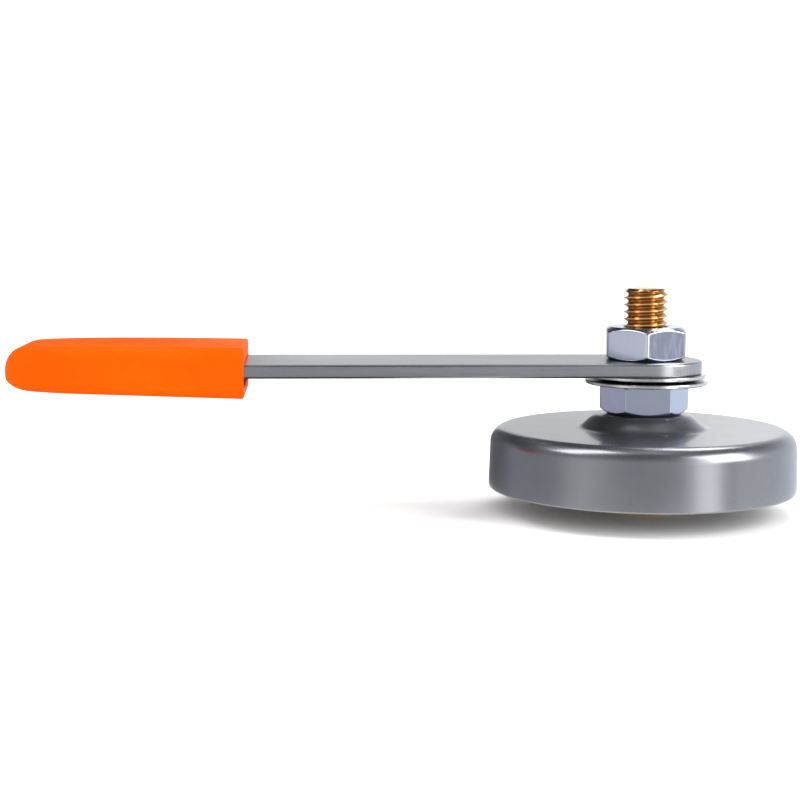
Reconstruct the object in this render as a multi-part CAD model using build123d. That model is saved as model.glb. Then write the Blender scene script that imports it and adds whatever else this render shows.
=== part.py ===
"""Welding magnet holder: a pot magnet with a brass contact bolt, a swivelling bar handle and a clamp nut.

Millimetres. The origin is the centre of the bolt head's contact face, +Z runs up the bolt's axis, and the
handle points along -X. Each piece is written to parts/ as its own STEP file.
"""
import os
from math import pi, radians, sin, sqrt, tan

from build123d import *

# Brass contact bolt, M8 x 35 with a hex head: the head is the electrical contact below the magnet
THREAD_D = 7.85
THREAD_PITCH = 1.25
THREAD_DEPTH = 0.6134 * THREAD_PITCH
BOLT_LENGTH = 34.8
HEAD_ACROSS_FLATS = 13.0
HEAD_HEIGHT = 5.3
HEAD_FACE_D = 11.7
TIP_CHAMFER = 0.75
NECK_LENGTH = 1.9
CREST_FLAT = THREAD_PITCH / 8
ROOT_FLAT = THREAD_PITCH / 4

# Pressed steel magnet cup, hollow side down, with a raised boss in the middle. The cup and all in it sit a
# little off the bolt's axis, within the clearance of the cup's hole.
CUP_SHIFT = -0.25
RIM_HEIGHT = 4.4
CUP_RIM_R = 27.5
CUP_TOP_R = 27.15
CUP_HEIGHT = 10.8
CUP_SHEET = 1.9
CUP_FILLET = 2.8
BOSS_BASE_R = 12.2
BOSS_TOP_R = 7.6
BOSS_RISE = 2.55
BOSS_FOOT_CURVE = 1.9
BOSS_HEAD_CURVE = 1.7
BOSS_INNER_STEP = 0.5 * CUP_SHEET
CUP_HOLE_R = 4.3
RIM_ROUND = 0.35

# Ferrite ring magnet and the resin around it
MAGNET_R = 24.0
MAGNET_HOLE_R = 4.75
MAGNET_CHAMFER = 0.4
RESIN_RECESS = 0.3
RESIN_OVERLAP = 1.0

# Hex nuts, chamfered and countersunk on both faces; the chamfer angle is the bolt head's too
HEX_CHAMFER_ANGLE = 30
COUNTERSINK_ANGLE = 60
NUT_ACROSS_FLATS = 13.8
NUT_HEIGHT = 5.9
NUT_FACE_D = 13.0
NUT_BORE_R = 4.0
NUT_COUNTERSINK_D = 8.7
LOCK_NUT_TURN = 54.7
CLAMP_NUT_TURN = 21.5

# Washers: each sits a little off-centre in its clearance hole; the lower one is dished, its rim drooping
WASHER_T = 0.7
WASHER_HOLE_R = 4.4
CUPPED_WASHER_R = 10.9
CUPPED_WASHER_SHIFT = 0.35
CUPPED_FLAT_R = 6.8
CUPPED_DROOP = 0.55
FLAT_WASHER_R = 10.7
FLAT_WASHER_SHIFT = 0.15
WASHER_EDGE = 0.15

# Flat bar handle with a round end about the bolt
BAR_WIDTH = 20.2
BAR_T = 2.4
BAR_HOLE_R = 4.25
BAR_END_X = -106.5
BAR_END_CORNER = 4.0
BAR_EDGE = 0.25

# Plastic grip sleeve, open towards the bolt and round at its tip
GRIP_MOUTH_X = -71.1
GRIP_TIP_X = -113.2
GRIP_WIDTH = 22.6
GRIP_MOUTH_LOW = 21.55
GRIP_MOUTH_TOP = 30.4
GRIP_TIP_Z = 24.95
GRIP_BOTTOM_RISE = 1.4
GRIP_CROWN = 0.25
GRIP_TOP_NOSE = 5.1
GRIP_BOTTOM_NOSE = 5.3
GRIP_PLAN_NOSE = 14.0
GRIP_PLAN_POWER = 2.27
GRIP_EDGE = 1.8
GRIP_EDGE_SHARE = 0.3
GRIP_NOSE_ANGLES = (0, 15, 30, 45, 58, 70, 80)
MOUTH_WIDTH = 21.4
MOUTH_ABOVE_BAR = 0.15
MOUTH_BELOW_BAR = 1.35
MOUTH_DEPTH = 12.0

# Height of the plain cylinders that cut bolt holes, more than any sheet they pass through
CUTTER_HEIGHT = 10.0

# The stack, from the contact face up
cup_top = RIM_HEIGHT + CUP_HEIGHT
cup_ceiling = cup_top - CUP_SHEET
boss_top = cup_top + BOSS_RISE
lock_nut_top = boss_top + NUT_HEIGHT
cupped_washer_top = lock_nut_top + WASHER_T
flat_washer_top = cupped_washer_top + WASHER_T
bar_top = flat_washer_top + BAR_T
bolt_top = HEAD_HEIGHT + BOLT_LENGTH


def turned(points):
    """Revolve a closed outline of (radius, height) points about the bolt's axis."""
    return revolve(Plane.XZ * make_face(Polyline(*points, close=True)), Axis.Z)


def ring(outer_r, inner_r, low, high):
    """A plain ring between two heights."""
    return turned([(inner_r, low), (outer_r, low), (outer_r, high), (inner_r, high)])


def hex_blank(across_flats, low, high):
    """A hexagonal prism with corners on the X axis."""
    return Pos(0, 0, low) * extrude(RegularPolygon(across_flats / sqrt(3), 6), high - low)


def chamfer_envelope(across_flats, face_d, low, high, low_side=True, high_side=True):
    """The turned body that gives a hexagon its corner chamfers."""
    corner_r = across_flats / sqrt(3)
    drop = (corner_r - face_d / 2) * tan(radians(HEX_CHAMFER_ANGLE))
    lower = [(0, low), (face_d / 2, low), (corner_r, low + drop)]
    points = lower if low_side else [(0, low), (corner_r, low)]
    if high_side:
        points += [(corner_r, high - drop), (face_d / 2, high), (0, high)]
    else:
        points += [(corner_r, high), (0, high)]
    return turned(points)


def thread_flutes(low, high):
    """(radius, height) points up the side of the thread, whose turns are kept as rings a pitch apart."""
    crest_r = THREAD_D / 2
    root_r = crest_r - THREAD_DEPTH
    half_crest = CREST_FLAT / 2
    half_root = ROOT_FLAT / 2
    points = []
    for turn in range(int((high - low) / THREAD_PITCH)):
        next_crest = low + (turn + 1) * THREAD_PITCH
        root = next_crest - THREAD_PITCH / 2
        points += [(root_r, root - half_root), (root_r, root + half_root)]
        points += [(crest_r, next_crest - half_crest), (crest_r, next_crest + half_crest)]
    return points


def contact_bolt():
    """Hex head, a short neck where the thread runs out, then the thread up to a chamfered tip."""
    tip_r = THREAD_D / 2 - TIP_CHAMFER
    neck_r = THREAD_D / 2 - THREAD_DEPTH / 2
    in_head = HEAD_HEIGHT / 2
    thread_low = HEAD_HEIGHT + NECK_LENGTH
    thread_high = bolt_top - TIP_CHAMFER - THREAD_PITCH / 2
    head = hex_blank(HEAD_ACROSS_FLATS, 0, HEAD_HEIGHT)
    head &= chamfer_envelope(HEAD_ACROSS_FLATS, HEAD_FACE_D, 0, HEAD_HEIGHT, high_side=False)
    side = [(neck_r, in_head), (neck_r, thread_low)] + thread_flutes(thread_low, thread_high)
    tip = [(THREAD_D / 2, bolt_top - TIP_CHAMFER), (tip_r, bolt_top)]
    return head + turned([(0, in_head)] + side + tip + [(0, bolt_top)])


def cup_outline(inset, rim_z, hole_r):
    """Profile of the cup's outer skin, or of its inner skin when inset by the sheet's thickness."""
    top = cup_top - inset
    boss = boss_top - inset
    fillet_r = CUP_FILLET - inset
    rim_r = CUP_RIM_R - inset
    side_r = CUP_TOP_R - inset
    boss_step = BOSS_INNER_STEP * inset / CUP_SHEET
    boss_base = BOSS_BASE_R - boss_step
    boss_r = BOSS_TOP_R - boss_step
    side = Line((rim_r, rim_z), (side_r, top - fillet_r))
    shoulder = RadiusArc((side_r, top - fillet_r), (side_r - fillet_r, top), -fillet_r)
    flat = Line((side_r - fillet_r, top), (boss_base, top))
    slope = Bezier(
        (boss_base, top),
        (boss_base - BOSS_FOOT_CURVE, top),
        (boss_r + BOSS_HEAD_CURVE, boss),
        (boss_r, boss),
    )
    crown = Line((boss_r, boss), (hole_r, boss))
    return [side, shoulder, flat, slope, crown]


def skin_solid(inset, rim_z):
    """The solid under one skin of the cup, down to rim_z."""
    skin = cup_outline(inset, rim_z, 0)
    boss = boss_top - inset
    closing = [Line((0, boss), (0, rim_z)), Line((0, rim_z), (CUP_RIM_R - inset, rim_z))]
    return revolve(Plane.XZ * make_face(Curve() + skin + closing), Axis.Z)


def magnet_cup():
    """Pressed shell with a clearance hole for the bolt and a rounded rim."""
    hole = Pos(0, 0, cup_top) * Cylinder(CUP_HOLE_R, CUTTER_HEIGHT)
    cup = skin_solid(0, RIM_HEIGHT) - skin_solid(CUP_SHEET, RIM_HEIGHT) - hole
    rim_edges = cup.edges().group_by(Axis.Z)[0]
    return fillet(rim_edges, RIM_ROUND)


def ring_magnet():
    """Flat ring against the cup's ceiling, its outer edges chamfered."""
    magnet = ring(MAGNET_R, MAGNET_HOLE_R, HEAD_HEIGHT, cup_ceiling)
    outer_edges = magnet.edges().sort_by(SortBy.LENGTH)[-2:]
    return chamfer(outer_edges, MAGNET_CHAMFER)


def potting_ring(magnet):
    """Resin between the magnet and the cup's wall, just below the level of the magnet's face."""
    cavity = skin_solid(CUP_SHEET, RIM_HEIGHT)
    band = ring(CUP_RIM_R, MAGNET_R - RESIN_OVERLAP, HEAD_HEIGHT + RESIN_RECESS, cup_ceiling)
    return (cavity & band) - magnet


def hex_nut(low, turn):
    """Hex nut with a running bore over the thread's crests and a countersink at each end."""
    high = low + NUT_HEIGHT
    nut = hex_blank(NUT_ACROSS_FLATS, low, high) & chamfer_envelope(NUT_ACROSS_FLATS, NUT_FACE_D, low, high)
    sink_r = NUT_COUNTERSINK_D / 2
    sink_depth = (sink_r - NUT_BORE_R) / tan(radians(COUNTERSINK_ANGLE))
    bore = turned(
        [
            (0, low),
            (sink_r, low),
            (NUT_BORE_R, low + sink_depth),
            (NUT_BORE_R, high - sink_depth),
            (sink_r, high),
            (0, high),
        ]
    )
    return Rot(0, 0, turn) * (nut - bore)


def cupped_washer():
    """Dished washer, flat about its hole, with its rim drooping."""
    high = cupped_washer_top
    low = high - WASHER_T
    rim = CUPPED_WASHER_R
    dish = turned(
        [
            (0, low),
            (CUPPED_FLAT_R, low),
            (rim, low - CUPPED_DROOP),
            (rim, high - CUPPED_DROOP),
            (CUPPED_FLAT_R, high),
            (0, high),
        ]
    )
    return washer_from(dish, CUPPED_WASHER_SHIFT)


def flat_washer():
    """Plain washer under the handle."""
    disc = Pos(0, 0, cupped_washer_top) * extrude(Circle(FLAT_WASHER_R), WASHER_T)
    return washer_from(disc, FLAT_WASHER_SHIFT)


def washer_from(disc, shift):
    """Round the disc's rim, bore it and slide it off-centre by up to its hole's clearance."""
    rim_edges = disc.edges().sort_by(lambda edge: edge.bounding_box().size.X)[-2:]
    rounded = fillet(rim_edges, WASHER_EDGE)
    bore = Pos(0, 0, flat_washer_top) * Cylinder(WASHER_HOLE_R, CUTTER_HEIGHT)
    return Pos(shift, 0, 0) * (rounded - bore)


def handle_bar():
    """Flat bar with a full round at the bolt, two rounded corners in the grip and its long edges broken."""
    round_end = Circle(BAR_WIDTH / 2)
    straight = Pos(BAR_END_X / 2, 0) * Rectangle(-BAR_END_X, BAR_WIDTH)
    far_corners = straight.vertices().sort_by(Axis.X)[:2]
    outline = round_end + fillet(far_corners, BAR_END_CORNER) - Circle(BAR_HOLE_R)
    bar = Pos(0, 0, flat_washer_top) * extrude(outline, BAR_T)
    return chamfer(bar.edges().filter_by(Axis.X), BAR_EDGE)


def grip_section(x):
    """Rounded rectangle across the grip at one place along it."""
    from_tip = x - GRIP_TIP_X
    along = (GRIP_MOUTH_X - x) / (GRIP_MOUTH_X - GRIP_TIP_X)

    def nose(length, power=2.0):
        short = max(0.0, 1 - from_tip / length)
        return max(0.0, 1 - short**power) ** (1 / power)

    top = GRIP_MOUTH_TOP + GRIP_CROWN * sin(pi * along)
    low = GRIP_MOUTH_LOW + GRIP_BOTTOM_RISE * along
    top = GRIP_TIP_Z + (top - GRIP_TIP_Z) * nose(GRIP_TOP_NOSE)
    low = GRIP_TIP_Z + (low - GRIP_TIP_Z) * nose(GRIP_BOTTOM_NOSE)
    width = GRIP_WIDTH * nose(GRIP_PLAN_NOSE, GRIP_PLAN_POWER)
    edge = min(GRIP_EDGE, GRIP_EDGE_SHARE * (top - low))
    return Plane(origin=(x, 0, (top + low) / 2), x_dir=(0, 1, 0), z_dir=(1, 0, 0)) * RectangleRounded(
        width, top - low, edge
    )


def grip_cavity():
    """The sleeve's pocket: wide at the mouth, then closing on the bar."""
    bar_middle = flat_washer_top + BAR_T / 2
    mouth_height = BAR_T + MOUTH_ABOVE_BAR + MOUTH_BELOW_BAR
    mouth_middle = bar_middle + (MOUTH_ABOVE_BAR - MOUTH_BELOW_BAR) / 2

    def section(x, middle, width, height):
        return Plane(origin=(x, 0, middle), x_dir=(0, 1, 0), z_dir=(1, 0, 0)) * Rectangle(width, height)

    mouth = section(GRIP_MOUTH_X, mouth_middle, MOUTH_WIDTH, mouth_height)
    throat = section(GRIP_MOUTH_X - MOUTH_DEPTH, bar_middle, BAR_WIDTH, BAR_T)
    return loft([mouth, throat])


def grip_sleeve(bar):
    """Straight body with a rounded nose, less its pocket and the bar in it."""
    nose_x = GRIP_TIP_X + GRIP_PLAN_NOSE
    body = loft([grip_section(x) for x in (GRIP_MOUTH_X, (GRIP_MOUTH_X + nose_x) / 2, nose_x)], ruled=True)
    nose = loft([grip_section(nose_x - GRIP_PLAN_NOSE * sin(radians(angle))) for angle in GRIP_NOSE_ANGLES])
    return body + nose - grip_cavity() - bar


def main():
    """Make every piece in its place and write each one to its own file."""
    magnet = ring_magnet()
    bar = handle_bar()
    cup_place = Pos(CUP_SHIFT, 0, 0)
    pieces = {
        "contact_bolt": contact_bolt(),
        "magnet_cup": cup_place * magnet_cup(),
        "ring_magnet": cup_place * magnet,
        "potting_ring": cup_place * potting_ring(magnet),
        "lock_nut": hex_nut(boss_top, LOCK_NUT_TURN),
        "cupped_washer": cupped_washer(),
        "flat_washer": flat_washer(),
        "handle_bar": bar,
        "grip_sleeve": grip_sleeve(bar),
        "clamp_nut": hex_nut(bar_top, CLAMP_NUT_TURN),
    }
    os.makedirs("parts", exist_ok=True)
    for name, piece in pieces.items():
        export_step(piece, f"parts/{name}.step")


main()
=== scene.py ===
"""Looks of the welding magnet holder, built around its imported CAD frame.

Shapes are worked out in millimetres and scaled to metres where each mesh is made. Every piece stands for one
CAD node and takes its place and its driving sizes from that node's box. The bolt's axis is the Z axis, the
handle points along -X, and the contact face at Z = 0 rests on the floor.
"""
import math

import bmesh
import bpy
from mathutils import Matrix, Vector


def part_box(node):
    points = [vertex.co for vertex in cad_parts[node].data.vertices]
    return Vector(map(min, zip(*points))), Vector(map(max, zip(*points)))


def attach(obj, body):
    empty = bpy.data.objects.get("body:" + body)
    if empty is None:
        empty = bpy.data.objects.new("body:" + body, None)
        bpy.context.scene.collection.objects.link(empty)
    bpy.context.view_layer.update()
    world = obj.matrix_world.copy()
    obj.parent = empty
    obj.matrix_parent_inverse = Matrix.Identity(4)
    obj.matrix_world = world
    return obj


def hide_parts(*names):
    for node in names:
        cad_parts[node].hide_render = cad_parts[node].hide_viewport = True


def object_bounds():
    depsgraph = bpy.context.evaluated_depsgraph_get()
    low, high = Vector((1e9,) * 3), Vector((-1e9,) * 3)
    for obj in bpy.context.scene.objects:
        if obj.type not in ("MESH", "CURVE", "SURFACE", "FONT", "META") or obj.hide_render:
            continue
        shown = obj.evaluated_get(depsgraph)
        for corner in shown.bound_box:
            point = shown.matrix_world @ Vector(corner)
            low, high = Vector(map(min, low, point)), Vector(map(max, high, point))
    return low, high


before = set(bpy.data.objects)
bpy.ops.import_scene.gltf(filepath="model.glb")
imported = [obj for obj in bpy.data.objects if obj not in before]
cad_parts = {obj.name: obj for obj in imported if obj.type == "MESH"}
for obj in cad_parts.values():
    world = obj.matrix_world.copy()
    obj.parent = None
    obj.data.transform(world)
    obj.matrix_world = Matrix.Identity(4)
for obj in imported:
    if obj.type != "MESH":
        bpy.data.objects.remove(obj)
cad_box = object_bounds()

MM = 0.001

# Points nearer than MERGE become one, and an edge bent by more than SHARP_ANGLE shades as a crease
MERGE = 0.0005
SHARP_ANGLE = math.radians(38)
TURN_COLUMNS = 192
HEX_COLUMNS = 16
HEX_HALF_SIDE = math.radians(30)
ARC_STEPS = 5
QUARTER = [math.pi / 2 * step / ARC_STEPS for step in range(ARC_STEPS + 1)]

# Thread of the bolt and of both nuts: right-hand, 60 degree flanks
PITCH = 1.25
CREST_R = 3.925
THREAD_DEPTH = 0.767
CREST_FLAT = 0.13
THREAD_SLOPE = math.sqrt(3)
THREAD_ROWS = 12
HEX_CHAMFER = math.radians(30)
NUT_CLEARANCE = 0.1
NUT_MINOR_R = 3.36
LOWER_NUT_TURN = 54.7
UPPER_NUT_TURN = 21.5

# Details that the CAD boxes don't state
HEAD_FACE_R = 5.85
HEAD_HEIGHT = 5.3
HEAD_EDGE = 0.25
NECK_R = 3.55
NECK_TOP = 7.2
TIP_R = 3.15
TIP_DISH = 0.12
CUP_DRAFT = 0.35
CUP_BODY = 10.8
CUP_SHEET = 1.9
CUP_FILLET = 2.8
CUP_HOLE_R = 4.3
CUP_ARC_STEPS = 10
BOSS_BASE_R = 12.2
BOSS_TOP_R = 7.6
BOSS_CURVE = 1.8
RIM_ROUND = 0.35
MAGNET_HOLE_R = 4.75
MAGNET_CHAMFER = 0.4
RESIN_MENISCUS = 0.25
RESIN_EDGE = 1.0
RESIN_TOP_STEP = 1.2
NUT_FLAT_R = 6.9
NUT_FACE_R = 6.4
NUT_SINK_R = 4.35
NUT_CORNER = 0.4
NUT_EDGE = 0.3
NUT_FACE_EDGE = 0.2
WASHER_T = 0.7
WASHER_HOLE_R = 4.4
WASHER_ROUND = 0.22
DISH_FLAT_R = 6.8
DISH_BEND = 1.0
BAR_HOLE_R = 4.25
BAR_EDGE = 0.45
BAR_END_CORNER = 4.0
GRIP_MOUTH_TOP = 30.4
GRIP_TIP_Z = 24.95
GRIP_RISE = 1.4
GRIP_CROWN = 0.2
GRIP_EDGE = 1.8
GRIP_EDGE_SHARE = 0.35
GRIP_EDGE_LIMIT = 0.9
GRIP_STEPS = 24
GRIP_LIP = 0.4
TOP_NOSE = 5.0
BOTTOM_NOSE = 5.24
PLAN_NOSE = 14.0
PLAN_POWER = 2.27
MOUTH_WIDTH = 21.4
MOUTH_ABOVE = 0.15
MOUTH_BELOW = 1.6
MOUTH_DEPTH = 12.0
MOUTH_CORNER = 0.7
MOUTH_STEPS = 6
POCKET_CORNER = 0.3
LIP_SHARES = (0.98, 1.03)
SNUG = 0.04

# Brightness and tint of the studio's walls by azimuth in degrees; 0 is +X, and the camera is at about -100
WALLS = (
    (-180, (0.46, 0.46, 0.50)),
    (-166, (0.50, 0.51, 0.55)),
    (-155, (0.92, 0.93, 0.96)),
    (-143, (1.15, 1.15, 1.15)),
    (-128, (0.80, 0.80, 0.82)),
    (-111, (0.56, 0.57, 0.60)),
    (-88, (0.55, 0.57, 0.60)),
    (-80, (0.62, 0.63, 0.66)),
    (-74, (0.55, 0.56, 0.60)),
    (-64, (0.95, 0.96, 0.99)),
    (-58, (2.60, 2.60, 2.62)),
    (-50, (3.00, 3.00, 3.05)),
    (-44, (2.40, 2.40, 2.45)),
    (-40, (0.50, 0.51, 0.56)),
    (-31, (0.44, 0.45, 0.50)),
    (-26, (1.10, 1.11, 1.16)),
    (0, (1.00, 1.03, 1.09)),
    (31, (0.95, 1.03, 1.16)),
    (60, (1.00, 1.02, 1.06)),
    (74, (1.35, 1.36, 1.38)),
    (81, (0.92, 0.93, 0.95)),
    (92, (1.12, 1.13, 1.14)),
    (94, (0.20, 0.20, 0.22)),
    (106, (0.20, 0.20, 0.22)),
    (118, (0.16, 0.16, 0.18)),
    (136, (0.24, 0.24, 0.27)),
    (151, (0.56, 0.56, 0.65)),
    (180, (0.46, 0.46, 0.50)),
)
# Share of that brightness by height, from straight down (-1) through the horizon (0) to straight up (1)
HEIGHTS = (
    (-1.0, 0.12),
    (-0.55, 0.25),
    (-0.3, 1.0),
    (0.2, 1.0),
    (0.35, 0.75),
    (0.6, 0.28),
    (0.8, 0.08),
    (0.94, 0.08),
    (0.975, 0.5),
    (1.0, 0.8),
)
# Even white of the same room, as matt surfaces and as the camera see it
FILL = 0.92
BACKDROP = 1.2

# In metres. Polished sides mirror the studio, not the far floor; the disc under the cup shows in the brass
FLOOR_HALF = 6.0
FLOOR_STEP = 0.00002
NEAR_FLOOR_R = 0.045

# Yaw, pitch and roll in degrees, place in millimetres, focal length in millimetres
CAMERA_ANGLES = (3.053, 6.885, 0.227)
CAMERA_PLACE = (-59.04, -285.01, 54.65)
CAMERA_LENS = 72.66


# ---------------------------------------------------------------- mesh helpers

def box_mm(node):
    """Lowest and highest corner of a CAD node, in millimetres."""
    low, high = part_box(node)
    return low / MM, high / MM


def rounded(corners, steps=ARC_STEPS):
    """Closed outline of (u, v) points from (u, v, radius) corners; a radius above 0 becomes an arc."""
    points = []
    for i, (u, v, radius) in enumerate(corners):
        here = Vector((u, v))
        if radius <= 0:
            points.append((u, v))
            continue
        before = (Vector(corners[i - 1][:2]) - here).normalized()
        after = (Vector(corners[(i + 1) % len(corners)][:2]) - here).normalized()
        half = before.angle(after) / 2
        centre = here + (before + after).normalized() * radius / math.sin(half)
        start = here + before * radius / math.tan(half) - centre
        sweep = math.pi - 2 * half
        if before.cross(after) > 0:
            sweep = -sweep
        first = math.atan2(start.y, start.x)
        for step in range(steps + 1):
            angle = first + sweep * step / steps
            points.append((centre.x + radius * math.cos(angle), centre.y + radius * math.sin(angle)))
    return points


def bezier(a, b, c, d, steps=18):
    """(u, v) points along a cubic curve, its ends left out."""
    points = []
    for step in range(1, steps):
        t = step / steps
        s = 1 - t
        weights = (s**3, 3 * s * s * t, 3 * s * t * t, t**3)
        points.append(tuple(sum(w * p[k] for w, p in zip(weights, (a, b, c, d))) for k in (0, 1)))
    return points


def add_grid(bm, loops, closed=False, climb=0):
    """Quads between neighbouring loops. With a climb, the last column of each loop meets the first column of
    the loop that many rows on, as the turns of a helix do."""
    rows = [[bm.verts.new(p) for p in loop] for loop in loops]
    last = len(rows) - 1
    for i in range(last + closed):
        above = (i + 1) % len(rows)
        for j in range(len(rows[i])):
            wraps = j + 1 == len(rows[i])
            beside = 0 if wraps else j + 1
            step = climb if wraps else 0
            near = rows[min(i + step, last)][beside]
            far = rows[above if closed else min(i + 1 + step, last)][beside]
            quad = dict.fromkeys((rows[i][j], near, far, rows[above][j]))
            if len(quad) > 2:
                bm.faces.new(quad)
    return rows


def make_piece(name, build, node, body, slot, material):
    """A smooth closed mesh from build(bm), in place of one CAD node, riding on that node's body."""
    bm = bmesh.new()
    build(bm)
    bmesh.ops.remove_doubles(bm, verts=bm.verts, dist=MERGE)
    bmesh.ops.recalc_face_normals(bm, faces=bm.faces)
    bmesh.ops.scale(bm, vec=(MM, MM, MM), verts=bm.verts)
    mesh = bpy.data.meshes.new(name)
    bm.to_mesh(mesh)
    bm.free()
    mesh.shade_smooth()
    mesh.set_sharp_from_angle(angle=SHARP_ANGLE)
    mesh.materials.append(material)
    piece = bpy.data.objects.new(name, mesh)
    bpy.context.scene.collection.objects.link(piece)
    weighted = piece.modifiers.new("even_flats", "WEIGHTED_NORMAL")
    weighted.keep_sharp = True
    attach(piece, body)
    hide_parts(node)


def circle(r, z, centre_x=0.0):
    """One level ring of points about an upright axis."""
    angles = [2 * math.pi * j / TURN_COLUMNS for j in range(TURN_COLUMNS)]
    return [(centre_x + r * math.cos(a), r * math.sin(a), z) for a in angles]


def lathe(outline, centre_x=0.0):
    """Build function for a closed (radius, height) outline turned about an upright axis."""
    return lambda bm: add_grid(bm, [circle(r, z, centre_x) for r, z in outline], closed=True)


# ---------------------------------------------------------------- hexagons and threads

def hex_angles(turn):
    """Angles round a hexagon, closer together at its corners, the first corner being at turn degrees."""
    spread = [math.sin(math.pi * (k / HEX_COLUMNS - 0.5)) / 2 + 0.5 for k in range(HEX_COLUMNS)]
    return [math.radians(turn + 60 * (side + share)) for side in range(6) for share in spread]


def hex_radius(angle, turn, flat_r, corner_round):
    """Distance from the axis to a hexagon's side, its corners rounded."""
    from_corner = abs(math.radians((math.degrees(angle) - turn + 30) % 60 - 30))
    centre = (flat_r - corner_round) / math.cos(HEX_HALF_SIDE)
    tangent = math.atan2(corner_round / 2, centre + corner_round * math.cos(HEX_HALF_SIDE))
    if from_corner < tangent:
        aside = centre * math.sin(from_corner)
        return centre * math.cos(from_corner) + math.sqrt(corner_round**2 - aside**2)
    return flat_r / math.cos(HEX_HALF_SIDE - from_corner)


def thread_radius(along):
    """Radius of the bolt's thread at a place along one pitch, whose middle is the crest."""
    from_crest = abs(along % 1 - 0.5) * PITCH
    depth = (from_crest - CREST_FLAT / 2) * THREAD_SLOPE
    return CREST_R - min(max(depth, 0), THREAD_DEPTH)


def thread_shares():
    """Places along one pitch where a row of points lies: the ends and middles of root, flanks and crest."""
    crest = CREST_FLAT / PITCH / 2
    flank = THREAD_DEPTH / THREAD_SLOPE / PITCH
    rising = [0.5 - crest - flank * (1 - k / 4) for k in range(5)]
    falling = [1 - share for share in reversed(rising)]
    return [0.0] + rising + [0.5] + falling


def column_loops(columns, angles):
    """Loops of points from one (radius, height) outline per angle."""
    return [
        [(col[k][0] * math.cos(a), col[k][0] * math.sin(a), col[k][1]) for col, a in zip(columns, angles)]
        for k in range(len(columns[0]))
    ]


def build_bolt(bm):
    """Hex head, neck and a helical thread up to a chamfered, slightly dished tip, all one closed skin."""
    high = box_mm("contact_bolt")[1]
    angles = hex_angles(0)
    shares = thread_shares()

    def level(r, z):
        return [(r * math.cos(a), r * math.sin(a), z) for a in angles]

    def head(a):
        r = hex_radius(a, 0, high.y, HEAD_EDGE)
        chamfer_z = max(0, r - HEAD_FACE_R) * math.tan(HEX_CHAMFER)
        corners = [
            (NECK_R, 0, 0),
            (HEAD_FACE_R, 0, HEAD_EDGE),
            (r, chamfer_z, HEAD_EDGE / 2),
            (r, HEAD_HEIGHT, HEAD_EDGE / 2),
            (NECK_R, HEAD_HEIGHT, 0),
        ]
        return rounded(corners)

    def thread_point(a, place):
        z = NECK_TOP + PITCH * (place + a / (2 * math.pi))
        fade = min(max((z - NECK_TOP) / PITCH, 0), 1)
        r = NECK_R + (min(thread_radius(place), TIP_R + high.z - z) - NECK_R) * fade
        if z >= high.z:
            r = TIP_R
        return r * math.cos(a), r * math.sin(a), min(max(z, NECK_TOP), high.z)

    last_turn = math.ceil((high.z - NECK_TOP) / PITCH)
    places = [turn + share for turn in range(-2, last_turn + 1) for share in shares]
    head_loops = column_loops([head(a) for a in angles], angles) + [level(NECK_R, NECK_TOP)]
    tip_loops = [
        level(TIP_R, high.z),
        level(TIP_R - TIP_DISH, high.z),
        level(TIP_R / 2, high.z - TIP_DISH),
    ]
    foot = add_grid(bm, head_loops)[0]
    add_grid(bm, [[thread_point(a, place) for a in angles] for place in places], climb=len(shares))
    end = add_grid(bm, tip_loops)[-1]
    bm.faces.new(foot)
    bm.faces.new(end)


def nut(node, turn):
    """Build function for a hex nut with chamfered faces, countersinks and a thread that fits the bolt's."""
    low, high = box_mm(node)
    angles = hex_angles(turn)
    rows = round((high.z - low.z) / PITCH * THREAD_ROWS)
    levels = [high.z - (high.z - low.z) * k / rows for k in range(1, rows)]

    def bore(a, z):
        cone = NUT_SINK_R - min(z - low.z, high.z - z) * THREAD_SLOPE
        thread = thread_radius((z - NECK_TOP) / PITCH - a / (2 * math.pi)) + NUT_CLEARANCE
        return max(cone, thread, NUT_MINOR_R)

    def column(a):
        r = hex_radius(a, turn, NUT_FLAT_R, NUT_CORNER)
        drop = (r - NUT_FACE_R) * math.tan(HEX_CHAMFER)
        corners = [
            (NUT_SINK_R, low.z, 0),
            (NUT_FACE_R, low.z, NUT_FACE_EDGE),
            (r, low.z + drop, NUT_EDGE),
            (r, high.z - drop, NUT_EDGE),
            (NUT_FACE_R, high.z, NUT_FACE_EDGE),
            (NUT_SINK_R, high.z, 0),
        ]
        return rounded(corners) + [(bore(a, z), z) for z in levels]

    loops = column_loops([column(a) for a in angles], angles)
    return lambda bm: add_grid(bm, loops, closed=True)


# ---------------------------------------------------------------- turned pieces

def cup_outline():
    """Section of the pressed cup: rim, drafted wall, shoulder, flat top and the raised boss with its hole."""
    low, high = box_mm("magnet_cup")
    rim_r = (high.y - low.y) / 2
    top = low.z + CUP_BODY

    def skin(inset):
        shoulder = (rim_r - CUP_DRAFT - inset, top - inset, CUP_FILLET - inset)
        base = (BOSS_BASE_R - inset / 2, top - inset)
        crown = (BOSS_TOP_R - inset / 2, high.z - inset)
        pulled = ((base[0] - BOSS_CURVE, base[1]), (crown[0] + BOSS_CURVE, crown[1]))
        slope = [(r, z, 0) for r, z in [base] + bezier(base, *pulled, crown) + [crown]]
        return [(rim_r - inset, low.z, RIM_ROUND), shoulder] + slope

    inner = list(reversed(skin(CUP_SHEET)))
    hole = [(CUP_HOLE_R, high.z, RIM_ROUND), (CUP_HOLE_R, high.z - CUP_SHEET, RIM_ROUND)]
    return rounded(skin(0) + hole + inner, steps=CUP_ARC_STEPS)


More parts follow.
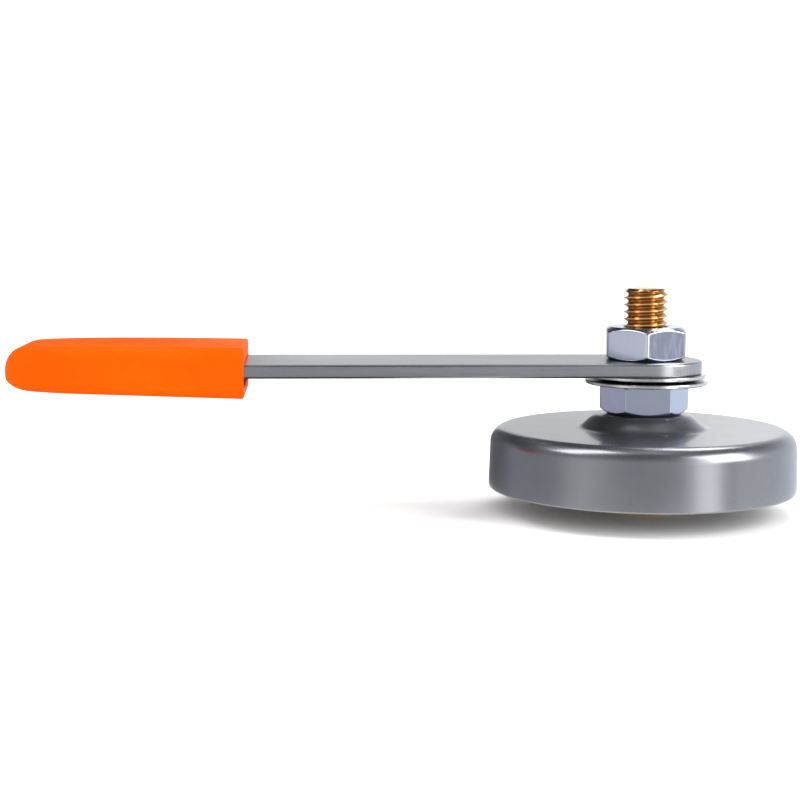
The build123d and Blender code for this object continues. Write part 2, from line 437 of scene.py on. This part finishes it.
def magnet_outline():
    """Section of the ring magnet, with broken outer edges."""
    low, high = box_mm("ring_magnet")
    r = (high.y - low.y) / 2
    c = MAGNET_CHAMFER
    return [
        (MAGNET_HOLE_R, low.z),
        (r - c, low.z),
        (r, low.z + c),
        (r, high.z - c),
        (r - c, high.z),
        (MAGNET_HOLE_R, high.z),
    ]


def resin_outline():
    """Section of the resin: it climbs a little up the cup's wall and the magnet where it meets them."""
    low, high = box_mm("potting_ring")
    magnet_r = box_mm("ring_magnet")[1].y
    wall_r = high.y
    span = wall_r - magnet_r
    face = [
        (magnet_r + span * k / 8, low.z + RESIN_MENISCUS * math.sin(math.pi * k / 8)) for k in range(9)
    ]
    outer = [(wall_r - CUP_DRAFT / 2, high.z - RESIN_EDGE), (wall_r - RESIN_TOP_STEP, high.z)]
    return face + outer + [(magnet_r, high.z)]


def flat_washer_outline():
    """Section of the plain washer, its edges rounded."""
    low, high = box_mm("flat_washer")
    r = (high.y - low.y) / 2
    corners = [(WASHER_HOLE_R, low.z), (r, low.z), (r, high.z), (WASHER_HOLE_R, high.z)]
    return rounded([(u, v, WASHER_ROUND) for u, v in corners])


def cupped_washer_outline():
    """Section of the lower washer: flat under the clamp, then drooping to its rim."""
    low, high = box_mm("cupped_washer")
    r = (high.y - low.y) / 2
    corners = [
        (WASHER_HOLE_R, high.z - WASHER_T, WASHER_ROUND),
        (DISH_FLAT_R, high.z - WASHER_T, DISH_BEND),
        (r, low.z, WASHER_ROUND),
        (r, low.z + WASHER_T, WASHER_ROUND),
        (DISH_FLAT_R, high.z, DISH_BEND),
        (WASHER_HOLE_R, high.z, WASHER_ROUND),
    ]
    return rounded(corners)


def axis_x(node):
    """Place along X of a turned node's own axis."""
    low, high = box_mm(node)
    return (low.x + high.x) / 2


# ---------------------------------------------------------------- handle

def bar_outline(inset):
    """Plan of the bar as seen from above, drawn in by inset all round."""
    low, high = box_mm("handle_bar")
    half = high.y
    # Where rays from the bolt's axis cross the long side, so that each point faces its own one on the hole
    side = [(half / math.tan(math.radians(a)), half - inset) for a in range(94, 171, 4)]
    corner_x = low.x + BAR_END_CORNER
    corner_y = half - BAR_END_CORNER
    corner_r = BAR_END_CORNER - inset
    corner = [
        (corner_x + corner_r * math.cos(math.radians(a)), corner_y + corner_r * math.sin(math.radians(a)))
        for a in range(90, 181, 15)
    ]
    upper = side + corner
    lower = [(x, -y) for x, y in reversed(upper)]
    round_end = [
        ((half - inset) * math.cos(math.radians(a)), (half - inset) * math.sin(math.radians(a)))
        for a in range(-90, 91, 3)
    ]
    return round_end + upper + lower


def build_bar(bm):
    """Flat bar: rounded outer edges, a round end and the bolt's hole."""
    low, high = box_mm("handle_bar")
    plan = bar_outline(0)

    def hole(r, z):
        return [(*(Vector(p).normalized() * r), z) for p in plan]

    def edge_row(a, face_z, inward):
        z = face_z + inward * BAR_EDGE * (1 - math.cos(a))
        return [(x, y, z) for x, y in bar_outline(BAR_EDGE * (1 - math.sin(a)))]

    break_r = BAR_HOLE_R + BAR_EDGE / 2
    loops = [hole(BAR_HOLE_R, low.z + BAR_EDGE / 2), hole(break_r, low.z)]
    loops += [edge_row(a, low.z, 1) for a in QUARTER]
    loops += [edge_row(a, high.z, -1) for a in reversed(QUARTER)]
    loops += [hole(break_r, high.z), hole(BAR_HOLE_R, high.z - BAR_EDGE / 2)]
    add_grid(bm, loops, closed=True)


def rect_loop(x, half_width, low, high, round_r):
    """Rounded rectangle across the handle at one place along it."""
    points = []
    for turn, side, up in ((0, 1, 1), (90, -1, 1), (180, -1, -1), (270, 1, -1)):
        centre_y = side * (half_width - round_r)
        centre_z = (high - round_r) if up > 0 else (low + round_r)
        for step in range(2 * ARC_STEPS + 1):
            a = math.radians(turn + 90 * step / (2 * ARC_STEPS))
            points.append((x, centre_y + round_r * math.cos(a), centre_z + round_r * math.sin(a)))
    return points


def build_grip(bm):
    """Sleeve from the bottom of its pocket, out over the lip of the mouth and along to the rounded tip."""
    low, high = box_mm("grip_sleeve")
    bar_low, bar_high = box_mm("handle_bar")
    mouth_x = high.x
    tip_x = low.x

    def outside(x, inset=0.0):
        along = (mouth_x - x) / (mouth_x - tip_x)

        def nose(length, power=2.0):
            short = max(0.0, 1 - (x - tip_x) / length)
            return max(0.0, 1 - short**power) ** (1 / power)

        top = GRIP_MOUTH_TOP + GRIP_CROWN * math.sin(math.pi * along)
        bottom = low.z + GRIP_RISE * along
        top = GRIP_TIP_Z + (top - GRIP_TIP_Z) * nose(TOP_NOSE) - inset
        bottom = GRIP_TIP_Z + (bottom - GRIP_TIP_Z) * nose(BOTTOM_NOSE) + inset
        half = high.y * nose(PLAN_NOSE, PLAN_POWER) - inset
        round_r = min(GRIP_EDGE - inset, GRIP_EDGE_SHARE * (top - bottom), half * GRIP_EDGE_LIMIT)
        return rect_loop(x, half, bottom, top, round_r)

    def pocket(x, share, narrower=0.0):
        half = bar_high.y + SNUG + (MOUTH_WIDTH / 2 - bar_high.y) * share - narrower
        bottom = bar_low.z - SNUG - (MOUTH_BELOW - SNUG) * share
        top = bar_high.z + SNUG + (MOUTH_ABOVE - SNUG) * share
        return rect_loop(x, half, bottom, top, POCKET_CORNER + (MOUTH_CORNER - POCKET_CORNER) * share)

    corner_x = bar_low.x + BAR_END_CORNER - SNUG
    loops = [
        pocket(corner_x - BAR_END_CORNER * math.cos(a), 0, BAR_END_CORNER * (1 - math.sin(a)))
        for a in QUARTER
    ]
    loops.append(pocket(mouth_x - MOUTH_DEPTH, 0))
    flare = [k / MOUTH_STEPS for k in range(1, MOUTH_STEPS)]
    loops += [pocket(mouth_x - MOUTH_DEPTH * (1 - share), share**2) for share in flare]
    loops += [pocket(mouth_x - GRIP_LIP / 2, LIP_SHARES[0]), pocket(mouth_x, LIP_SHARES[1])]
    loops += [outside(mouth_x - GRIP_LIP * (1 - math.cos(a)), GRIP_LIP * (1 - math.sin(a))) for a in QUARTER]
    nose_x = tip_x + PLAN_NOSE
    straight = mouth_x - GRIP_LIP - nose_x
    loops += [outside(nose_x + straight * (1 - k / GRIP_STEPS)) for k in range(1, GRIP_STEPS + 1)]
    loops += [outside(nose_x - PLAN_NOSE * math.sin(math.radians(a))) for a in range(3, 90, 3)]
    rows = add_grid(bm, loops)
    bm.faces.new(rows[0])
    bm.faces.new(rows[-1])


# ---------------------------------------------------------------- materials

def set_stops(ramp, stops):
    """Fill a new colour ramp with (place, colour) stops."""
    elements = ramp.color_ramp.elements
    elements.remove(elements[1])
    elements[0].position = stops[0][0]
    elements[0].color = (*stops[0][1], 1)
    for place, colour in stops[1:]:
        elements.new(place).color = (*colour, 1)


class Nodes:
    """Shader nodes of one material or of the world."""

    def __init__(self, tree):
        self.tree = tree

    def node(self, kind, inputs=(), **settings):
        """A new node; each input is linked if it is given a socket, and set otherwise."""
        made = self.tree.nodes.new(kind)
        for key, value in settings.items():
            setattr(made, key, value)
        for key, value in dict(inputs).items():
            if isinstance(value, bpy.types.NodeSocket):
                self.tree.links.new(value, made.inputs[key])
            else:
                made.inputs[key].default_value = value
        return made

    def ramp(self, value, *stops):
        """Colour at places along a value; a stop is (place, grey or colour)."""
        made = self.node("ShaderNodeValToRGB", {0: value})
        set_stops(made, [(v, c if isinstance(c, tuple) else (c, c, c)) for v, c in stops])
        return made.outputs[0]

    def mix(self, share, a, b, blend="MIX"):
        """Blend of two colours by a share of the second."""
        first, second = ((*c, 1) if isinstance(c, tuple) else c for c in (a, b))
        inputs = {0: share, 6: first, 7: second}
        return self.node("ShaderNodeMix", inputs, data_type="RGBA", blend_type=blend).outputs[2]


class Surface(Nodes):
    """A procedural material whose patterns are laid out in millimetres on the object itself."""

    def __init__(self, name, **settings):
        self.material = bpy.data.materials.new(name)
        self.material.use_nodes = True
        super().__init__(self.material.node_tree)
        self.shader = self.tree.nodes["Principled BSDF"]
        for socket, value in settings.items():
            self.shader.inputs[socket.replace("_", " ")].default_value = value
        self.place = self.node("ShaderNodeTexCoord").outputs["Object"]
        self.bumps = None

    def noise(self, per_mm=(1, 1, 1), detail=3.0, rough=0.55, shift=(0, 0, 0), source=None):
        """Noise from 0 to 1 with so many features per millimetre along each axis."""
        scale = tuple(v / MM for v in per_mm)
        placing = {"Vector": source or self.place, "Scale": scale, "Location": shift}
        mapped = self.node("ShaderNodeMapping", placing)
        inputs = {"Vector": mapped.outputs[0], "Scale": 1.0, "Detail": detail, "Roughness": rough}
        return self.node("ShaderNodeTexNoise", inputs).outputs[0]

    def axis_distance(self):
        """Distance from the bolt's axis, as a vector whose X is that distance in metres."""
        flat = self.node("ShaderNodeVectorMath", {0: self.place, 1: (1, 1, 0)}, operation="MULTIPLY")
        length = self.node("ShaderNodeVectorMath", {0: flat.outputs[0]}, operation="LENGTH")
        return self.node("ShaderNodeCombineXYZ", {"X": length.outputs["Value"]}).outputs[0]

    def set(self, socket, value):
        """Let a pattern drive one of the shader's sockets."""
        self.tree.links.new(value, self.shader.inputs[socket])

    def bump(self, height, depth_mm, strength=1.0):
        """Relief of a given depth, added on top of earlier relief."""
        inputs = {"Height": height, "Distance": depth_mm * MM, "Strength": strength}
        if self.bumps is not None:
            inputs["Normal"] = self.bumps
        self.bumps = self.node("ShaderNodeBump", inputs).outputs[0]
        self.set("Normal", self.bumps)


def cup_steel():
    """Satin grey coating over pressed steel: faint draw lines, mottling and fine orange peel."""
    s = Surface("cup_steel", Metallic=0.92, Coat_Weight=0.4, Coat_Roughness=0.05, Coat_IOR=1.5)
    mottle = s.noise((0.12, 0.12, 0.12), detail=4)
    lines = s.noise((0.02, 0.02, 2.2), detail=2)
    grain = s.noise((5, 5, 5), detail=2)
    s.set("Base Color", s.ramp(mottle, (0.3, (0.205, 0.210, 0.228)), (0.7, (0.235, 0.240, 0.256))))
    s.set("Roughness", s.ramp(s.mix(0.5, lines, grain), (0.3, 0.27), (0.7, 0.30)))
    s.bump(lines, 0.0008)
    s.bump(grain, 0.0015)
    return s.material


def zinc_steel():
    """Bright blue-white zinc plate: patchy tint, fine polish marks and small dings."""
    s = Surface("zinc_steel", Metallic=1.0)
    patches = s.noise((0.18, 0.18, 0.18), detail=2)
    marks = s.noise((1.5, 1.5, 0.3), detail=5, rough=0.7)
    dings = s.noise((0.9, 0.9, 0.9), detail=1, shift=(7, 3, 1))
    s.set("Base Color", s.ramp(patches, (0.35, (0.47, 0.53, 0.62)), (0.65, (0.52, 0.53, 0.64))))
    s.set("Roughness", s.ramp(marks, (0.35, 0.12), (0.7, 0.22)))
    s.bump(marks, 0.0012)
    s.bump(s.ramp(dings, (0.25, 0.0), (0.33, 1.0)), 0.004)
    return s.material


def washer_steel():
    """Bright zinc plate on punched washers: faint rings from the tool and tumbling scratches."""
    s = Surface("washer_steel", Metallic=1.0)
    rings = s.noise((6, 6, 6), detail=2, source=s.axis_distance())
    scratches = s.noise((2.5, 0.25, 1.0), detail=6, rough=0.75)
    s.set("Base Color", s.ramp(scratches, (0.3, (0.55, 0.55, 0.54)), (0.7, (0.68, 0.68, 0.67))))
    s.set("Roughness", s.ramp(scratches, (0.3, 0.16), (0.75, 0.3)))
    s.bump(rings, 0.002)
    s.bump(scratches, 0.0015)
    return s.material


def bar_steel():
    """Satin plated flat bar, its grain drawn along its length."""
    s = Surface("bar_steel", Metallic=1.0)
    grain = s.noise((0.03, 2.5, 2.5), detail=5, rough=0.65)
    clouds = s.noise((0.06, 0.12, 0.12), detail=3)
    tint = s.ramp(clouds, (0.35, (0.35, 0.355, 0.37)), (0.65, (0.39, 0.395, 0.405)))
    s.set("Base Color", s.mix(0.25, tint, s.ramp(grain, (0.3, 0.6), (0.7, 1.0)), "MULTIPLY"))
    s.set("Roughness", s.ramp(grain, (0.3, 0.24), (0.7, 0.36)))
    s.bump(grain, 0.003)
    return s.material


def orange_plastic():
    """Soft vinyl sleeve: smooth skin with a faint moulded ripple, pores and handling marks."""
    s = Surface(
        "orange_plastic",
        IOR=1.4,
        Specular_IOR_Level=0.012,
        Subsurface_Weight=0.35,
        Subsurface_Radius=(0.004, 0.0012, 0.0004),
        Subsurface_Scale=0.6,
    )
    cloud = s.noise((0.05, 0.1, 0.1), detail=3)
    ripple = s.noise((0.12, 0.35, 0.35), detail=2)
    pores = s.noise((6, 6, 6), detail=2)
    scuffs = s.noise((0.25, 1.6, 1.6), detail=6, rough=0.75, shift=(3, 1, 4))
    s.set("Base Color", s.ramp(cloud, (0.3, (0.90, 0.060, 0.001)), (0.7, (0.94, 0.073, 0.0013))))
    s.set("Roughness", s.ramp(scuffs, (0.35, 0.36), (0.75, 0.5)))
    s.bump(ripple, 0.03)
    s.bump(pores, 0.003)
    return s.material


def brass():
    """Machined brass with random stains and fine turning lines, painted darker as shade deeper in the
    thread's roots but not on its level faces.
    """
    s = Surface("brass", Metallic=1.0)
    # Painted shade: share runs from 0 at the thread's root radius to 1 at its crest, and the brass is painted
    # darker the lower it is
    radius = s.node("ShaderNodeSeparateXYZ", {0: s.axis_distance()}).outputs[0]
    share = s.node(
        "ShaderNodeMapRange",
        {"Value": radius, "From Min": (CREST_R - THREAD_DEPTH) * MM, "From Max": CREST_R * MM},
    ).outputs[0]
    stains = s.noise((0.5, 0.5, 0.5), detail=4, rough=0.65)
    lathe_lines = s.noise((0.3, 0.3, 9), detail=2)
    bright = s.ramp(stains, (0.3, (0.88, 0.60, 0.26)), (0.7, (0.95, 0.74, 0.40)))
    facing = s.node("ShaderNodeSeparateXYZ", {0: s.node("ShaderNodeNewGeometry").outputs["Normal"]})
    level = s.node("ShaderNodeMath", {0: facing.outputs["Z"]}, operation="ABSOLUTE").outputs[0]
    faced = s.ramp(level, (0.9, 0.0), (0.97, 1.0))
    unshaded_share = s.node("ShaderNodeMath", {0: share, 1: faced}, operation="MAXIMUM").outputs[0]
    # Painted shade: dark brown (0.42, 0.19, 0.05) where the share is low, in the roots, on the neck and round
    # the tip's side, but level faces keep the bright brass
    s.set("Base Color", s.mix(s.ramp(unshaded_share, (0.0, 0.0), (0.8, 1.0)), (0.42, 0.19, 0.05), bright))
    s.set("Roughness", s.ramp(stains, (0.3, 0.13), (0.7, 0.22)))
    s.bump(lathe_lines, 0.003)
    s.bump(stains, 0.004)
    return s.material


def ferrite():
    """Sintered ferrite: dark, matt, speckled with pores and pale grit from grinding."""
    s = Surface("ferrite", Metallic=0.0, Specular_IOR_Level=0.45)
    speckle = s.noise((3, 3, 3), detail=5, rough=0.8)
    clouds = s.noise((0.15, 0.15, 0.15), detail=3)
    grind = s.noise((0.1, 3, 3), detail=3)
    tint = s.ramp(clouds, (0.3, (0.035, 0.036, 0.040)), (0.7, (0.055, 0.055, 0.058)))
    s.set("Base Color", s.mix(0.6, tint, s.ramp(speckle, (0.35, 0.5), (0.72, 1.0)), "MULTIPLY"))
    s.set("Roughness", s.ramp(speckle, (0.3, 0.55), (0.7, 0.8)))
    s.bump(speckle, 0.02)
    s.bump(grind, 0.006)
    return s.material


def resin():
    """Dark potting resin: a poured, slightly wavy skin with small bubbles."""
    s = Surface("resin", IOR=1.5)
    waves = s.noise((0.3, 0.3, 0.3), detail=2)
    bubbles = s.noise((1.8, 1.8, 1.8), detail=1)
    s.set("Base Color", s.ramp(waves, (0.3, (0.018, 0.018, 0.020)), (0.7, (0.030, 0.030, 0.033))))
    s.set("Roughness", s.ramp(bubbles, (0.3, 0.3), (0.7, 0.45)))
    s.bump(waves, 0.08)
    s.bump(s.ramp(bubbles, (0.2, 0.0), (0.3, 1.0)), 0.03)
    return s.material


def floor_paint():
    """Plain pale floor."""
    s = Surface("floor_paint", Roughness=0.9, Specular_IOR_Level=0.1)
    s.set("Base Color", s.ramp(s.noise((0.01, 0.01, 0.01)), (0.3, 0.89), (0.7, 0.91)))
    return s.material


# ---------------------------------------------------------------- the object

steel_washer = washer_steel()
zinc = zinc_steel()
PIECES = (
    ("brass_bolt", build_bolt, "contact_bolt", "magnet_head", "brass", brass()),
    ("pressed_cup", lathe(cup_outline(), axis_x("magnet_cup")), "magnet_cup", "magnet_head",
     "cup_steel", cup_steel()),
    ("ferrite_ring", lathe(magnet_outline(), axis_x("ring_magnet")), "ring_magnet", "magnet_head",
     "ferrite", ferrite()),
    ("resin_fill", lathe(resin_outline(), axis_x("potting_ring")), "potting_ring", "magnet_head",
     "resin", resin()),
    ("lower_nut", nut("lock_nut", LOWER_NUT_TURN), "lock_nut", "magnet_head", "zinc_steel", zinc),
    ("dished_washer", lathe(cupped_washer_outline(), axis_x("cupped_washer")), "cupped_washer",
     "magnet_head", "washer_steel", steel_washer),
    ("plain_washer", lathe(flat_washer_outline(), axis_x("flat_washer")), "flat_washer",
     "clamp_washer", "washer_steel", steel_washer),
    ("flat_bar", build_bar, "handle_bar", "handle", "bar_steel", bar_steel()),
    ("vinyl_grip", build_grip, "grip_sleeve", "handle", "orange_plastic", orange_plastic()),
    ("upper_nut", nut("clamp_nut", UPPER_NUT_TURN), "clamp_nut", "clamp_nut", "zinc_steel", zinc),
)
for piece in PIECES:
    make_piece(*piece)


# ---------------------------------------------------------------- stage, light and camera

def make_floor(name, corners, height, material):
    """Flat staged floor through the given (x, y) corners."""
    mesh = bpy.data.meshes.new(name)
    mesh.from_pydata([(x, y, height) for x, y in corners], [], [range(len(corners))])
    mesh.materials.append(material)
    floor = bpy.data.objects.new(name, mesh)
    bpy.context.scene.collection.objects.link(floor)
    return floor


def direction(azimuth, elevation):
    """Unit vector from the object towards a place in the studio, angles in degrees."""
    a, e = math.radians(azimuth), math.radians(elevation)
    return Vector((math.cos(e) * math.cos(a), math.cos(e) * math.sin(a), math.sin(e)))


def softbox(name, azimuth, elevation, distance, size, radiance):
    """Rectangular light aimed at the middle of the cup, seen only in reflections and by its light."""
    light = bpy.data.lights.new(name, "AREA")
    light.shape = "RECTANGLE"
    light.size, light.size_y = size
    light.energy = math.pi * radiance * size[0] * size[1]
    lamp = bpy.data.objects.new(name, light)
    bpy.context.scene.collection.objects.link(lamp)
    towards = direction(azimuth, elevation)
    lamp.location = towards * distance
    lamp.rotation_euler = towards.to_track_quat("Z", "Y").to_euler()
    lamp.visible_camera = False


def key_light(azimuth, elevation, strength, spread):
    """Wide frontal light that models the matt surfaces; the polished ones mirror the studio instead."""
    sun = bpy.data.lights.new("key", "SUN")
    sun.energy = strength
    sun.angle = math.radians(spread)
    lamp = bpy.data.objects.new("key", sun)
    bpy.context.scene.collection.objects.link(lamp)
    lamp.rotation_euler = direction(azimuth, elevation).to_track_quat("Z", "Y").to_euler()
    lamp.visible_glossy = False


def studio_world():
    """White studio. Polished surfaces mirror its walls and dark ceiling; matt ones get an even white fill."""
    world = bpy.data.worlds.new("studio")
    bpy.context.scene.world = world
    world.use_nodes = True
    studio = Nodes(world.node_tree)
    towards = studio.node("ShaderNodeTexCoord").outputs["Generated"]

    around = studio.node("ShaderNodeTexGradient", {0: towards}, gradient_type="RADIAL").outputs["Fac"]
    walls = studio.ramp(around, *[((azimuth + 180) / 360, colour) for azimuth, colour in WALLS])

    height = studio.node("ShaderNodeSeparateXYZ", {0: towards}).outputs["Z"]
    halved = studio.node("ShaderNodeMath", {0: height, 1: 0.5, 2: 0.5}, operation="MULTIPLY_ADD").outputs[0]
    levels = studio.ramp(halved, *[((z + 1) / 2, share) for z, share in HEIGHTS])

    shown = studio.mix(1.0, walls, levels, "MULTIPLY")
    rays = studio.node("ShaderNodeLightPath").outputs
    for kind, white in (("Is Diffuse Ray", FILL), ("Is Camera Ray", BACKDROP)):
        shown = studio.mix(rays[kind], shown, (white, white, white))
    studio.tree.links.new(shown, studio.tree.nodes["Background"].inputs["Color"])


def place_camera():
    """Camera in front of the handle and a little above it, with the whole object in view."""
    yaw, pitch, roll = (math.radians(v) for v in CAMERA_ANGLES)
    ahead = Vector((math.sin(yaw) * math.cos(pitch), math.cos(yaw) * math.cos(pitch), -math.sin(pitch)))
    level_right = Vector((math.cos(yaw), -math.sin(yaw), 0))
    level_up = level_right.cross(ahead)
    right = math.cos(roll) * level_right + math.sin(roll) * level_up
    up = math.cos(roll) * level_up - math.sin(roll) * level_right
    camera = bpy.data.cameras.new("camera")
    camera.lens = CAMERA_LENS
    camera.clip_start = 0.01
    holder = bpy.data.objects.new("camera", camera)
    turned = Matrix((right, up, -ahead)).transposed().to_4x4()
    holder.matrix_world = Matrix.Translation(Vector(CAMERA_PLACE) * MM) @ turned
    bpy.context.scene.collection.objects.link(holder)
    bpy.context.scene.camera = holder


paint = floor_paint()
ground = cad_box[0][2]
wide = [(x * FLOOR_HALF, y * FLOOR_HALF) for x, y in ((-1, -1), (1, -1), (1, 1), (-1, 1))]
far_floor = make_floor("floor", wide, ground - FLOOR_STEP, paint)
far_floor.visible_glossy = False
make_floor("floor_under_cup", [p[:2] for p in circle(NEAR_FLOOR_R, 0)], ground, paint)
studio_world()
key_light(azimuth=-100, elevation=12, strength=3.1, spread=60)
softbox("box_right", azimuth=-32, elevation=30, distance=0.55, size=(0.34, 0.42), radiance=6.0)
softbox("box_left", azimuth=188, elevation=59, distance=0.60, size=(0.19, 0.38), radiance=6.0)
softbox("box_back", azimuth=57, elevation=55, distance=0.50, size=(0.13, 0.16), radiance=7.0)
place_camera()
bpy.context.scene.view_settings.view_transform = "Standard"
